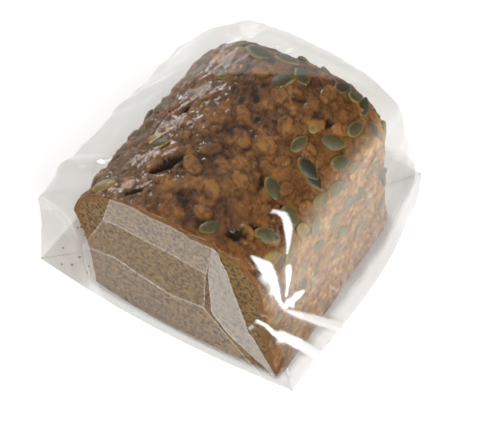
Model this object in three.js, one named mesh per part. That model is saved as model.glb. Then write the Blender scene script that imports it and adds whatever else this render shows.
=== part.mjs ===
// Half a seeded tin loaf in a clear film bag, in millimetres, +Z up.
// The bag is one closed solid out to its film: flat on the table, pressed on the loaf's cut face
// and crown, standing off in a wide gusset on the left and drawn down to a straight fold behind.
// It is worked out with x = 0 on the loaf's middle and y = 0 on the cut face, which looks along -Y,
// and is centred over its own footprint at the end.
import * as THREE from "three";

// Loaf
const LOAF_HALF_WIDTH = 55.5;
const LOAF_HEIGHT = 104;
const SHOULDER_HEIGHT = 60; // above this the sides round over into the crown
const LEFT_CORNER = 2.3; // superellipse powers: the left top corner is rounder than the right,
const RIGHT_CORNER = 4.5; // and the right one softens towards the back
const RIGHT_CORNER_BACK = 3.1;

// Film over the loaf
const FILM_GAP = 2; // the seeds hold the film this far off the crust
const LEAVES_LEFT_X = -31; // where the film lifts off the crown towards the gusset
const LEAVES_RIGHT_Z = 86; // where it drops from the right shoulder to the table
const CROWN_STEPS = 14;
const LUMP_HEIGHT = 0.7; // crust and seeds felt through the film
const LUMP_LENGTH = 21;
const LUMP_WANDER = 0.8; // how far the lumps stray from straight rows, in radians

// Feet of the film on the table
const LEFT_FOOT_FRONT = -88;
const LEFT_FOOT_BACK = -79;
const RIGHT_FOOT_FRONT = 64.5;
const RIGHT_FOOT_SWELL = 3.5;
const RIGHT_FOOT_TAPER = 13;
const FRONT_FOLD_LEFT_Y = -3;
const FRONT_FOLD_RIGHT_Y = -0.7;
const FRONT_FOLD_BOW = 4.5;
const BACK_FOLD_Y = 141;
const BACK_FOLD_BOW = 1.5;

// Gusset: the long soft fold down the left side
const GUSSET_FRONT_X = -78;
const GUSSET_X = -80; // reached a little way back
const GUSSET_WIDENS_BY_Y = 25;
const GUSSET_FRONT_Z = 67;
const GUSSET_FALL = 0.17; // it sinks this much for each millimetre further back
const GUSSET_ROUND = 12;
const GUSSET_BULGE = 4; // how far the film between gusset and crown swells at the back
const EAR_HOLLOW = 5; // how far the empty front corner of the gusset is sucked in

// Front face and back slope
const FACE_TOP_Y = -1.5;
const RIM_Y = 1;
const BACK_EDGE_Y = 114;
const BACK_EDGE_REACH = 12;
const LEAST_HEIGHT = 0.5; // a lifted point keeps at least this share of its height

// Mesh
const ACROSS = 64;
const FACE_ROWS = 16;
const BODY_ROWS = 24;
const BACK_ROWS = 9;

// Creases that stand out of the film as low ridges
const CREASES = [
  { from: [-79, 20, 65], to: [-52, 18, 87], rise: 2.6, reach: 7 }, // across the gusset
  { from: [-80, 66, 57], to: [-50, 78, 88], rise: 1.6, reach: 8 },
  { from: [57, 8, 90], to: [60, 10, 68], rise: 2.2, reach: 7 }, // down from the right front corner
  { from: [59, 4, 66], to: [67, 38, 2], rise: 2.4, reach: 7 },
  { from: [59, 1, 56], to: [66, 22, 3], rise: 2.2, reach: 6 },
  { from: [59, 18, 78], to: [63, 44, 28], rise: 1.6, reach: 7 },
  { from: [8, 104, 106], to: [20, 137, 20], rise: 2.2, reach: 9 }, // down the back slope
  { from: [-34, 104, 100], to: [-30, 138, 10], rise: 2.0, reach: 9 },
  { from: [46, 106, 96], to: [44, 138, 10], rise: 2.0, reach: 8 },
  { from: [-26, -2, 100], to: [-48, -3, 50], rise: 1.4, reach: 6 }, // edges of the folded front flaps
  { from: [34, -2, 100], to: [58, -4, 8], rise: 1.4, reach: 6 },
  { from: [-35, -2, 78], to: [24, -2, 80], rise: 1.2, reach: 6 },
  { from: [-52, -3, 37], to: [22, -3, 42], rise: 1.2, reach: 6 },
];

const { lerp, smoothstep } = THREE.MathUtils;

const leftFootX = (y) => lerp(LEFT_FOOT_FRONT, LEFT_FOOT_BACK, y / BACK_FOLD_Y);

// The right foot swells out to half way back, then tapers in ever faster
function rightFootX(y) {
  const halfway = BACK_FOLD_Y / 2;
  const past = Math.max(0, y / halfway - 1);
  return RIGHT_FOOT_FRONT + RIGHT_FOOT_SWELL * smoothstep(y, 0, halfway) - RIGHT_FOOT_TAPER * past ** 2;
}

// Bow of a straight fold on the table, largest midway between the two feet (s from 0 to 1)
const bow = (s) => 4 * s * (1 - s);

const rightCorner = (y) =>
  lerp(RIGHT_CORNER, RIGHT_CORNER_BACK, smoothstep(y, BACK_FOLD_Y / 2, BACK_EDGE_Y));

const superellipse = (share, power) => Math.pow(1 - Math.pow(share, power), 1 / power);

// Half-width of the film over the loaf's crown at a height above the shoulder
function crownHalfWidth(z, power) {
  const share = (z - SHOULDER_HEIGHT) / (LOAF_HEIGHT + FILM_GAP - SHOULDER_HEIGHT);
  return (LOAF_HALF_WIDTH + FILM_GAP) * superellipse(share, power);
}

// Height of the film over the loaf's crown at a place across it
function crownHeight(x, y) {
  const share = Math.min(1, Math.abs(x) / (LOAF_HALF_WIDTH + FILM_GAP));
  const power = x < 0 ? LEFT_CORNER : rightCorner(y);
  const rise = LOAF_HEIGHT + FILM_GAP - SHOULDER_HEIGHT;
  return SHOULDER_HEIGHT + rise * superellipse(share, power);
}

// Cross-section of the bag at y, as points from the left foot over the crown to the right foot
function crossSection(y) {
  const gussetX = lerp(GUSSET_FRONT_X, GUSSET_X, smoothstep(y, 0, GUSSET_WIDENS_BY_Y));
  const gusset = new THREE.Vector2(gussetX, GUSSET_FRONT_Z - GUSSET_FALL * y);
  const leaves = new THREE.Vector2(LEAVES_LEFT_X, crownHeight(LEAVES_LEFT_X, y));
  const foot = new THREE.Vector2(leftFootX(y), 0);
  const slope = leaves.clone().sub(gusset);
  const below = foot.clone().sub(gusset).setLength(GUSSET_ROUND).add(gusset);
  const above = slope.clone().setLength(GUSSET_ROUND).add(gusset);
  const swell = new THREE.Vector2(-slope.y, slope.x).setLength(GUSSET_BULGE * (y / BACK_EDGE_Y));
  const midway = gusset.clone().add(leaves).multiplyScalar(1 / 2).add(swell);
  const shoulder = crownHalfWidth(LEAVES_RIGHT_Z, rightCorner(y));
  const section = new THREE.Path();
  section.moveTo(foot.x, foot.y);
  section.lineTo(below.x, below.y);
  section.quadraticCurveTo(gusset.x, gusset.y, above.x, above.y);
  section.quadraticCurveTo(midway.x, midway.y, leaves.x, leaves.y);
  for (let i = 1; i <= CROWN_STEPS; i++) {
    // sine steps crowd the points towards the right shoulder, where the curve is tightest
    const across = Math.sin((i / CROWN_STEPS) * (Math.PI / 2));
    const x = lerp(LEAVES_LEFT_X, shoulder, across);
    section.lineTo(x, crownHeight(x, y));
  }
  section.lineTo(rightFootX(y), 0);
  return section.getSpacedPoints(ACROSS);
}

// Front face: from the fold on the table up to the loaf's front rim
function faceRows() {
  const rim = crossSection(0);
  const [left, right] = [rim[0].x, rim[ACROSS].x];
  const rows = [];
  for (let r = 0; r < FACE_ROWS; r++) {
    const up = r / FACE_ROWS;
    rows.push(
      rim.map((p) => {
        const s = (p.x - left) / (right - left);
        const fold = lerp(FRONT_FOLD_LEFT_Y, FRONT_FOLD_RIGHT_Y, s) - FRONT_FOLD_BOW * bow(s);
        const z = p.y * up;
        const ear = THREE.MathUtils.clamp((p.x + LOAF_HALF_WIDTH) / (left + LOAF_HALF_WIDTH), 0, 1);
        const hollow = EAR_HOLLOW * bow(ear) * bow(Math.min(1, z / GUSSET_FRONT_Z));
        return new THREE.Vector3(p.x, lerp(fold, FACE_TOP_Y, up) + hollow, z);
      }),
    );
  }
  return rows;
}

// Body: cross-sections from the front rim to the back edge
function bodyRows() {
  const rows = [];
  for (let r = 0; r <= BODY_ROWS; r++) {
    const y = lerp(RIM_Y, BACK_EDGE_Y, r / BODY_ROWS);
    rows.push(crossSection(y).map((p) => new THREE.Vector3(p.x, y, p.y)));
  }
  return rows;
}

// Back: each point of the last cross-section comes down a curve to the straight fold on the table
function backRows() {
  const edge = crossSection(BACK_EDGE_Y);
  const [left, right] = [edge[0].x, edge[ACROSS].x];
  const curves = edge.map((p) => {
    const s = (p.x - left) / (right - left);
    const foldX = lerp(leftFootX(BACK_FOLD_Y), rightFootX(BACK_FOLD_Y), s);
    return new THREE.QuadraticBezierCurve3(
      new THREE.Vector3(p.x, BACK_EDGE_Y, p.y),
      new THREE.Vector3(p.x, BACK_EDGE_Y + BACK_EDGE_REACH, p.y),
      new THREE.Vector3(foldX, BACK_FOLD_Y + BACK_FOLD_BOW * bow(s), 0),
    );
  });
  const rows = [];
  for (let r = 1; r <= BACK_ROWS; r++) {
    rows.push(curves.map((curve) => curve.getPoint(r / BACK_ROWS)));
  }
  return rows;
}

// How far a crease lifts the film at a point: most on its line, nothing past its reach
function creaseLift(point, crease) {
  const line = new THREE.Line3(new THREE.Vector3(...crease.from), new THREE.Vector3(...crease.to));
  const nearest = line.closestPointToPoint(point, true, new THREE.Vector3());
  return crease.rise * Math.max(0, 1 - nearest.distanceTo(point) / crease.reach);
}

// Soft lumps where the film lies on the crown
function lumpLift(point) {
  const onLoaf = smoothstep(point.z, LEAVES_RIGHT_Z, LOAF_HEIGHT);
  const [a, b] = [point.x / LUMP_LENGTH, point.y / LUMP_LENGTH].map((v) => v * 2 * Math.PI);
  const wave = Math.sin(a + LUMP_WANDER * Math.sin(b)) * Math.sin(b + LUMP_WANDER * Math.sin(2 * a));
  return LUMP_HEIGHT * onLoaf * wave;
}

// The bag's skin is one grid whose whole edge lies on the table, closed by a flat base
function makeBag() {
  const rows = [...faceRows(), ...bodyRows(), ...backRows()];
  const points = rows.flat();
  const at = (r, k) => r * (ACROSS + 1) + k;
  const skin = [];
  for (let r = 0; r + 1 < rows.length; r++) {
    for (let k = 0; k < ACROSS; k++) {
      skin.push(at(r, k), at(r, k + 1), at(r + 1, k + 1));
      skin.push(at(r, k), at(r + 1, k + 1), at(r + 1, k));
    }
  }
  const geometry = new THREE.BufferGeometry().setFromPoints(points).setIndex(skin);
  geometry.computeVertexNormals();
  const outward = geometry.getAttribute("normal");

  const lifted = points.map((p, i) => {
    if (p.z <= 0) return p;
    const lift = CREASES.reduce((sum, crease) => sum + creaseLift(p, crease), lumpLift(p));
    const normal = new THREE.Vector3().fromBufferAttribute(outward, i);
    const moved = p.clone().addScaledVector(normal, lift);
    moved.z = Math.max(moved.z, p.z * LEAST_HEIGHT);
    return moved;
  });

  const last = rows.length - 1;
  const edge = [];
  for (let k = 0; k < ACROSS; k++) edge.push(at(0, k));
  for (let r = 0; r < last; r++) edge.push(at(r, ACROSS));
  for (let k = ACROSS; k > 0; k--) edge.push(at(last, k));
  for (let r = last; r > 0; r--) edge.push(at(r, 0));
  const middle = lifted.push(new THREE.Vector3(0, BACK_FOLD_Y / 2, 0)) - 1;
  const base = edge.flatMap((e, i) => [middle, edge[(i + 1) % edge.length], e]);

  const solid = new THREE.BufferGeometry().setFromPoints(lifted).setIndex([...skin, ...base]);
  solid.computeBoundingBox();
  const centre = solid.boundingBox.getCenter(new THREE.Vector3());
  solid.translate(-centre.x, -centre.y, 0);
  solid.computeVertexNormals();
  return solid;
}

const film = new THREE.MeshStandardMaterial({ color: 0xb9a58c, roughness: 0.25, metalness: 0 });
const bag = new THREE.Mesh(makeBag(), film);
bag.name = "bread_bag";

const part = new THREE.Group();
part.add(bag);

export default part;
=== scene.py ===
"""Half a seeded tin loaf in a clear film bag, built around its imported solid."""

import math

import bpy
import numpy as np
from mathutils import Matrix, Vector, noise
from mathutils.bvhtree import BVHTree


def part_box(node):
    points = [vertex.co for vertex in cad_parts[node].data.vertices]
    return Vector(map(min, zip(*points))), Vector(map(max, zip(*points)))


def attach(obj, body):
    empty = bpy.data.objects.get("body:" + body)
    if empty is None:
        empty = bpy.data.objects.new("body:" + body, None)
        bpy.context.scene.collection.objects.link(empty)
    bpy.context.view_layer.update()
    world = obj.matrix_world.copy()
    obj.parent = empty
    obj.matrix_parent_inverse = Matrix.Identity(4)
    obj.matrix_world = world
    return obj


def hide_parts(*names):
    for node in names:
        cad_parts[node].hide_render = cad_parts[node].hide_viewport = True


bl_info = {
    "name": "Seeded loaf in a clear bag",
    "version": (1, 0, 0),
    "blender": (4, 5, 0),
    "location": "3D View > Sidebar > Bread",
    "description": "Builds the film bag, the cut loaf, its seeds and crumbs around the packed solid",
    "category": "Object",
}

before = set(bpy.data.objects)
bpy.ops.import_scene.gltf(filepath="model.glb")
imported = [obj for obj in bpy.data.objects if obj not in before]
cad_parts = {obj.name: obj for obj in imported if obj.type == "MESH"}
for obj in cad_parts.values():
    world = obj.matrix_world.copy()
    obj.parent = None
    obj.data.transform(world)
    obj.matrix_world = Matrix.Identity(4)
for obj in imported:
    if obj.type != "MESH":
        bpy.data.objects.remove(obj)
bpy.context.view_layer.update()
BAG_LOW, BAG_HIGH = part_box("bread_bag")
BODY = "root"
MM = 0.001

# Loaf, in millimetres: x = 0 on its middle, y = 0 on the cut face, which looks along -Y, z = 0 on the table
SHOULDER_HEIGHT = 60
LOAF_LEFT_CORNER = 2.1
LOAF_RIGHT_CORNER = 4.3
LOAF_RIGHT_CORNER_BACK = 3.1
LOAF_CELLS = 128
LOAF_CENTRE = (0, 57, 50)
LOAF_REACH = (56, 60, 53)

# Film over the loaf
LEFT_CORNER = 2.3
RIGHT_CORNER = 4.5
LEAVES_LEFT_X = -31
LEAVES_RIGHT_Z = 86
RIGHT_CORNER_BACK = 3.1
CROWN_STEPS = 40
CURVE_STEPS = 12

# Feet and folds of the film on the table
LEFT_FOOT_FRONT = -88
LEFT_FOOT_BACK = -79
RIGHT_FOOT_FRONT = 64.5
RIGHT_FOOT_SWELL = 3.5
RIGHT_FOOT_TAPER = 13
FRONT_FOLD_LEFT_Y = -3
FRONT_FOLD_RIGHT_Y = -0.7
FRONT_FOLD_BOW = 4.5
BACK_FOLD_Y = 141
BACK_FOLD_BOW = 1.5

# Gusset: the long soft fold down the left side
GUSSET_FRONT_X = -78
GUSSET_X = -80
GUSSET_WIDENS_BY_Y = 25
GUSSET_FRONT_Z = 67
GUSSET_FALL = 0.17
GUSSET_ROUND = 12
GUSSET_BULGE = 4
EAR_HOLLOW = 5

# Front face and back slope of the film
FACE_TOP_Y = -1.5
RIM_Y = 1
BACK_EDGE_Y = 114
BACK_EDGE_REACH = 12
FILM_ACROSS = 290
FACE_ROWS = 102
BODY_ROWS = 108
BACK_ROWS = 80

# Creases of the film: ends, rise and reach, as in the solid, then the sharp ones of the right front corner
CREASES = [
    ((-79, 20, 65), (-52, 18, 87), 2.6, 7),
    ((-80, 66, 57), (-50, 78, 88), 1.6, 8),
    ((57, 8, 90), (60, 10, 68), 2.2, 7),
    ((59, 4, 66), (67, 38, 2), 2.4, 7),
    ((59, 1, 56), (66, 22, 3), 2.2, 6),
    ((59, 18, 78), (63, 44, 28), 1.6, 7),
    ((8, 104, 106), (20, 137, 20), 2.2, 9),
    ((-34, 104, 100), (-30, 138, 10), 2.0, 9),
    ((46, 106, 96), (44, 138, 10), 2.0, 8),
    ((-26, -2, 100), (-48, -3, 50), 1.4, 6),
    ((34, -2, 100), (58, -4, 8), 1.4, 6),
]
STREAKS = [
    ((42, 30, 106), (58, 12, 96), 1.8, 3.5),
    ((43, 2, 105), (57, -1, 92), 2.2, 4.5),
    ((57, -1, 92), (60, 5, 70), 2.2, 4.5),
    ((60, 6, 72), (61, 24, 54), 2.2, 4),
    ((60, 8, 62), (66, 40, 3), 2.0, 4.5),
    ((50, -3, 57), (60, 0, 48), 2.0, 4),
    ((60, 0, 48), (66, 20, 3), 2.0, 4.5),
    ((42, -3, 40), (50, -3, 57), 1.2, 3),
]

# Painted highlights along creases of the film, white where the lamps' reflections lie: ends, half widths at
# both ends, strength
PAINTED_HIGHLIGHTS = [
    ((42.3, 28, 105.7), (46.5, 30, 102.5), 0.6, 1.8, 0.92),
    ((46.5, 30, 102.5), (50.5, 27, 99.3), 1.8, 2.3, 0.92),
    ((50.5, 27, 99.3), (54.5, 19, 92.5), 2.3, 0.5, 0.92),
    ((47, 4, 104), (52.8, 4.4, 96.5), 0.9, 4.2, 0.95),
    ((52.8, 4.4, 96.5), (57, 3, 88), 4.2, 2.7, 0.95),
    ((57, 3, 88), (60, 4, 74), 2.7, 0.6, 0.95),
    ((57.3, 15.5, 84.5), (58.4, 12.5, 80), 2.7, 2.3, 0.9),
    ((58.4, 12.5, 80), (59.8, 9, 74.5), 2.3, 1.2, 0.9),
    ((61, 6.5, 72), (60, 14, 62.5), 1.5, 3.6, 0.85),
    ((60, 14, 62.5), (60.3, 21, 60), 3.6, 0.8, 0.85),
    ((60, 3.5, 74), (61.5, 5, 70), 0.9, 0.9, 0.95),
    ((61.2, 4.3, 68.9), (63.8, 14.2, 50.5), 0.5, 2.0, 0.6),
    ((63.8, 14.2, 50.5), (69, 41, 1), 2.0, 3.4, 0.5),
    ((50.3, -2.7, 59.5), (57.7, -2.6, 56.7), 0.5, 1.8, 0.92),
    ((57.7, -2.6, 56.7), (64, 0.5, 50), 1.8, 2.4, 0.88),
    ((64, 0.5, 50), (65.5, 9, 32), 2.4, 3.0, 0.8),
    ((65.5, 9, 32), (68, 21, 1), 3.0, 3.4, 0.55),
    ((45.3, -3.9, 49.1), (50.3, -2.7, 59.5), 0.4, 0.7, 0.8),
    ((59, 23, 73), (65, 44, 30), 0.3, 0.3, 0.45),
    ((61, 4, 72), (51, -3, 64), 0.4, 0.3, 0.5),
    ((-57, 16, 83), (-45, 21, 91), 0.5, 0.8, 0.6),
    ((-72, 18, 71), (-57, 16, 83), 0.3, 0.5, 0.5),
]

# Milkier film: right side; painted light at the foot, over the shade inside the bag; double layer and
# painted reflection at the back; front panel between two folds (heights, then x)
SIDE_MILK = 0.09
PAINTED_FOOT_LIGHT = 0.42
BACK_LAYER_AND_PAINTED_REFLECTION = 0.06
PANEL_MILK = 0.02
PANEL_LEFT = ((1, 36, 51, 78, 106), (-53, -53, -48, -37, -25))
PANEL_RIGHT = ((1, 12, 50, 78, 93, 106), (58, 56.5, 43.5, 39, 37, 32.5))
PAINTED_HIGHLIGHT_SOFTNESS = 1.2
FRONT_CLING = 0.85
FRONT_FOOT_HEIGHT = 12
RIGHT_FOOT_HEIGHT = 24

# Patches and specks of the finishes, in metres, and how often fine noise repeats in a metre
CROWN_PATCH = 0.009
BLOTCH_PATCH = 0.003
FLANK_PATCH = 0.005
GRAIN_PATCH = 0.0022
SEED_PATCH = 0.004
LOOSE_CRUMB_PATCH = 0.003
DARK_SPECK = 0.0019
PALE_SPECK = 0.005
LARGE_SPECK = 0.007
GLINT_SPECK = 0.003
FINE_NOISE = 700.0

# Where the loaf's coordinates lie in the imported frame
ORIGIN = np.array(
    (
        BAG_LOW.x / MM - LEFT_FOOT_FRONT,
        BAG_HIGH.y / MM - BACK_FOLD_Y - BACK_FOLD_BOW,
        0,
    )
)


def in_frame(points):
    """Points in the loaf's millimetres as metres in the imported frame"""
    return (np.asarray(points, float) + ORIGIN) * MM


def srgb(red, green, blue):
    """Linear colour of a screen colour given from 0 to 255"""
    shares = np.array((red, green, blue)) / 255
    return tuple(np.where(shares <= 0.04045, shares / 12.92, ((shares + 0.055) / 1.055) ** 2.4))


def smoothstep(value, low, high):
    """0 below low, 1 above high, smooth between"""
    share = np.clip((value - low) / (high - low), 0, 1)
    return share * share * (3 - 2 * share)


def bow(share):
    """0 at both ends of a fold, 1 midway"""
    return 4 * share * (1 - share)


def unit(vector):
    """The vector at length 1"""
    return vector / np.linalg.norm(vector, axis=-1, keepdims=True)


def size_of(label, about, millimetres):
    """A length that a user may change"""
    return bpy.props.FloatProperty(
        name=label, description=about, default=millimetres * MM, min=0, precision=4, unit="LENGTH"
    )


def colour_of(label, about, *screen):
    """A colour that a user may change"""
    return bpy.props.FloatVectorProperty(
        name=label, description=about, default=srgb(*screen), min=0, max=1, size=3, subtype="COLOR"
    )


def count_of(label, about, number):
    """A number of pieces that a user may change"""
    return bpy.props.IntProperty(name=label, description=about, default=number, min=0)


class BreadLoafSizes(bpy.types.PropertyGroup):
    """Sizes of the loaf"""

    left_crown: size_of("Left crown", "From the middle to the left side under the crown", 56.5)
    right_crown: size_of("Right crown", "From the middle to the right side under the crown", 53)
    left_base: size_of("Left base", "From the middle to the left side at its waist", 53)
    right_base: size_of("Right base", "From the middle to the right side at its waist", 54)
    left_taper: size_of("Left taper", "How far the left side comes in towards the back", 3.5)
    height: size_of("Height", "From the table to the crown", 104.4)
    drop: size_of("Crown drop", "How far the crown falls towards the back", 1.2)
    base_length: size_of("Base length", "From the cut face to the back, on the table", 116)
    overhang: size_of("Overhang", "How far the crown stands out over the back", 4.5)
    back_round: size_of("Back rounding", "Radius of the upright edges round the back", 15)
    crown_round: size_of("Crown rounding", "Radius of the crown's edge round the back", 28)
    rim_round: size_of("Rim rounding", "Radius of the edge round the cut face", 1)
    cut_bow: size_of("Cut bow", "How far the cut face stands forward in the middle of its foot", 2.6)
    patch: size_of("Crust patch", "Usual size of the crust's patches", 8.5)
    patch_height: size_of("Patch height", "How far the patches stand over their grooves", 1.4)
    lump_length: size_of("Lump length", "Length of a seed covered by the crust", 13)
    lump_height: size_of("Lump height", "How far a covered seed lifts the crust", 1.0)
    lumps: count_of("Lumps", "Covered seeds on the crown", 60)
    crumb_depth: size_of("Crumb depth", "How rough the cut face is", 0.5)


class BreadSeedSizes(bpy.types.PropertyGroup):
    """Sizes of the pumpkin seeds and crumbs"""

    length: size_of("Length", "Length of a seed", 13)
    width: size_of("Width", "Width of a seed", 7.6)
    thickness: size_of("Thickness", "Thickness of a seed", 2.6)
    sink: size_of("Sink", "How deep a seed's middle lies under the crust", 0.55)
    spacing: size_of("Spacing", "Least distance between seeds on the sides", 11.5)
    tilt: bpy.props.FloatProperty(
        name="Tilt",
        description="Most that a seed leans out of the crust",
        default=math.radians(14),
        subtype="ANGLE",
    )
    draw: count_of("Draw", "Seed of the random draw", 7)
    crumb: size_of("Crumb", "Usual size of a loose crumb", 1.3)
    crumbs: count_of("Crumbs", "Loose crumbs in the bag", 46)


class BreadFilmSizes(bpy.types.PropertyGroup):
    """Sizes of the film bag"""

    half_width: size_of("Half width", "Half width of what the film lies on", 55.5)
    height: size_of("Height", "Height of what the film lies on", 105.4)
    gap: size_of("Gap", "How far the seeds hold the film off the crust", 2)
    lump: size_of("Lump height", "Height of the lumps felt through the film", 0.5)
    lump_length: size_of("Lump length", "Distance between those lumps", 21)
    crumple: size_of("Crumple", "Height of the sharp wrinkles", 1.1)
    crumple_cell: size_of("Crumple cell", "Distance between the sharp wrinkles", 23)
    layer: size_of("Layer gap", "Distance between folded layers", 0.45)
    sheet: size_of("Film thickness", "Thickness of a folded layer", 0.12)


class BreadColours(bpy.types.PropertyGroup):
    """Colours of the finishes"""

    crust: colour_of("Crust", "Lighter patches of the crown", 160, 110, 65)
    crust_shade: colour_of("Crust shade", "Darker patches of the crown", 72, 48, 35)
    # Dark crust colour, also used for painted shade in the grooves and low places
    crust_dark_and_shade: colour_of("Dark crust", "Grooves and hollows of the crown", 22, 14, 9)
    crust_gold: colour_of("Golden crust", "Seeds covered by the crown", 168, 118, 66)
    rosy: colour_of("Rosy crust", "Left slope of the crown", 156, 116, 84)
    amber: colour_of("Amber", "Rim of the crown and its right edge", 132, 83, 35)
    side: colour_of("Side", "Sides of the loaf", 229, 184, 108)
    side_brown: colour_of("Brown side", "Browner patches of the sides", 126, 78, 30)
    crumb: colour_of("Crumb", "Cut face", 165, 129, 72)
    crumb_dark: colour_of("Crumb grains", "Dark grains in the cut face", 54, 39, 18)
    crumb_pale: colour_of("Crumb flecks", "Pale flecks in the cut face", 188, 160, 108)
    seed: colour_of("Seed", "Common colour of the seeds", 90, 82, 40)
    seed_dark: colour_of("Dark seed", "Darkest seeds", 32, 32, 20)
    seed_pale: colour_of("Pale seed", "Palest seeds and hulls", 186, 156, 84)
    seed_rim: colour_of("Seed rim", "Edge line of the seeds", 146, 124, 62)
    film: colour_of("Film", "What light turns into through one layer of film", 236, 235, 233)
    floor: colour_of("Floor", "Table under the bag", 236, 236, 236)


class Wiring:
    """Adds nodes to one node tree and feeds their sockets by name"""

    def __init__(self, tree):
        self.tree = tree

    def add(self, kind, settings=None, **inputs):
        """A new node with its settings and inputs, a value or a socket each"""
        made = self.tree.nodes.new(kind)
        for key, value in (settings or {}).items():
            setattr(made, key, value)
        for key, value in inputs.items():
            self.feed(made, key.replace("_", " "), value)
        return made

    def feed(self, made, name, value):
        """Links or sets the node's enabled input of that name"""
        socket = next(s for s in made.inputs if s.enabled and s.name == name)
        if isinstance(value, bpy.types.NodeSocket):
            self.tree.links.new(value, socket)
        elif socket.type == "RGBA":
            socket.default_value = (*value[:3], 1)
        else:
            socket.default_value = value

    def mix(self, factor, first, second):
        """Colour between two colours"""
        made = self.add("ShaderNodeMix", {"data_type": "RGBA"}, Factor=factor, A=first, B=second)
        return next(s for s in made.outputs if s.enabled)

    def maths(self, operation, first, second=None, clamp=False):
        """Result of one sum"""
        made = self.add("ShaderNodeMath", {"operation": operation, "use_clamp": clamp})
        for socket, value in zip(made.inputs, (first, second)):
            if isinstance(value, bpy.types.NodeSocket):
                self.tree.links.new(value, socket)
            elif value is not None:
                socket.default_value = value
        return made.outputs[0]

    def attribute(self, name):
        """A number that the piece's mesh carries"""
        return self.add("ShaderNodeAttribute", {"attribute_name": name}).outputs["Fac"]

    def range(self, value, low, high, to_low=0.0, to_high=1.0):
        """The value carried from one range to another, and held inside it"""
        made = self.add(
            "ShaderNodeMapRange",
            Value=value,
            From_Min=low,
            From_Max=high,
            To_Min=to_low,
            To_Max=to_high,
        )
        return made.outputs["Result"]


def effect_group(name, inputs, outputs):
    """An empty shader node group with named sockets, its wiring, and its two end nodes"""
    tree = bpy.data.node_groups.new(name, "ShaderNodeTree")
    for label, kind, default in inputs:
        socket = tree.interface.new_socket(name=label, in_out="INPUT", socket_type=kind)
        if default is not None:
            socket.default_value = default
    for label, kind in outputs:
        tree.interface.new_socket(name=label, in_out="OUTPUT", socket_type=kind)
    wiring = Wiring(tree)
    return tree, wiring, wiring.add("NodeGroupInput"), wiring.add("NodeGroupOutput")


def mottle_group():
    """Soft patches of a second colour over a first, used by crust, seeds and crumbs"""
    if "Mottle" in bpy.data.node_groups:
        return bpy.data.node_groups["Mottle"]
    tree, w, start, end = effect_group(
        "Mottle",
        [
            ("Vector", "NodeSocketVector", None),
            ("Patch Size", "NodeSocketFloat", 0.01),
            ("Sharpness", "NodeSocketFloat", 2.0),
            ("First", "NodeSocketColor", (1, 1, 1, 1)),
            ("Second", "NodeSocketColor", (0, 0, 0, 1)),
        ],
        [("Color", "NodeSocketColor"), ("Mask", "NodeSocketFloat")],
    )
    scale = w.maths("DIVIDE", 1.0, start.outputs["Patch Size"])
    pattern = w.add(
        "ShaderNodeTexNoise", Vector=start.outputs["Vector"], Scale=scale, Detail=5.0, Roughness=0.6
    )
    centred = w.maths("SUBTRACT", pattern.outputs["Fac"], 0.5)
    sharper = w.maths("MULTIPLY", centred, start.outputs["Sharpness"])
    mask = w.maths("ADD", sharper, 0.5, clamp=True)
    w.feed(end, "Color", w.mix(mask, start.outputs["First"], start.outputs["Second"]))
    w.feed(end, "Mask", mask)
    return tree


def speckle_group():
    """A mask of small separate specks, used by the crumb and the crust's glossy spots"""
    if "Speckle" in bpy.data.node_groups:
        return bpy.data.node_groups["Speckle"]
    tree, w, start, end = effect_group(
        "Speckle",
        [
            ("Vector", "NodeSocketVector", None),
            ("Speck Size", "NodeSocketFloat", 0.001),
            ("Share", "NodeSocketFloat", 0.3),
        ],
        [("Mask", "NodeSocketFloat")],
    )
    scale = w.maths("DIVIDE", 1.0, start.outputs["Speck Size"])
    pattern = w.add(
        "ShaderNodeTexNoise", Vector=start.outputs["Vector"], Scale=scale, Detail=4.0, Roughness=0.65
    )
    least = w.maths("SUBTRACT", 0.75, w.maths("MULTIPLY", start.outputs["Share"], 0.5))
    mask = w.maths("MULTIPLY", w.maths("SUBTRACT", pattern.outputs["Fac"], least), 8.0, clamp=True)
    w.feed(end, "Mask", mask)
    return tree


def mottled(w, spot, patch_size, sharpness, first, second):
    """Outputs of the mottle group, placed in a material with its own values"""
    made = w.add("ShaderNodeGroup", {"node_tree": mottle_group()}, Vector=spot, Patch_Size=patch_size)
    w.feed(made, "Sharpness", sharpness)
    w.feed(made, "First", first)
    w.feed(made, "Second", second)
    return made.outputs


def speckled(w, spot, speck_size, share):
    """Mask of the speckle group, placed in a material with its own values"""
    made = w.add("ShaderNodeGroup", {"node_tree": speckle_group()}, Vector=spot, Share=share)
    w.feed(made, "Speck Size", speck_size)
    return made.outputs["Mask"]


def new_material(name):
    """An empty node material with its wiring and output node"""
    made = bpy.data.materials.new(name)
    made.use_nodes = True
    made.node_tree.nodes.clear()
    w = Wiring(made.node_tree)
    return made, w, w.add("ShaderNodeOutputMaterial")


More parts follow.
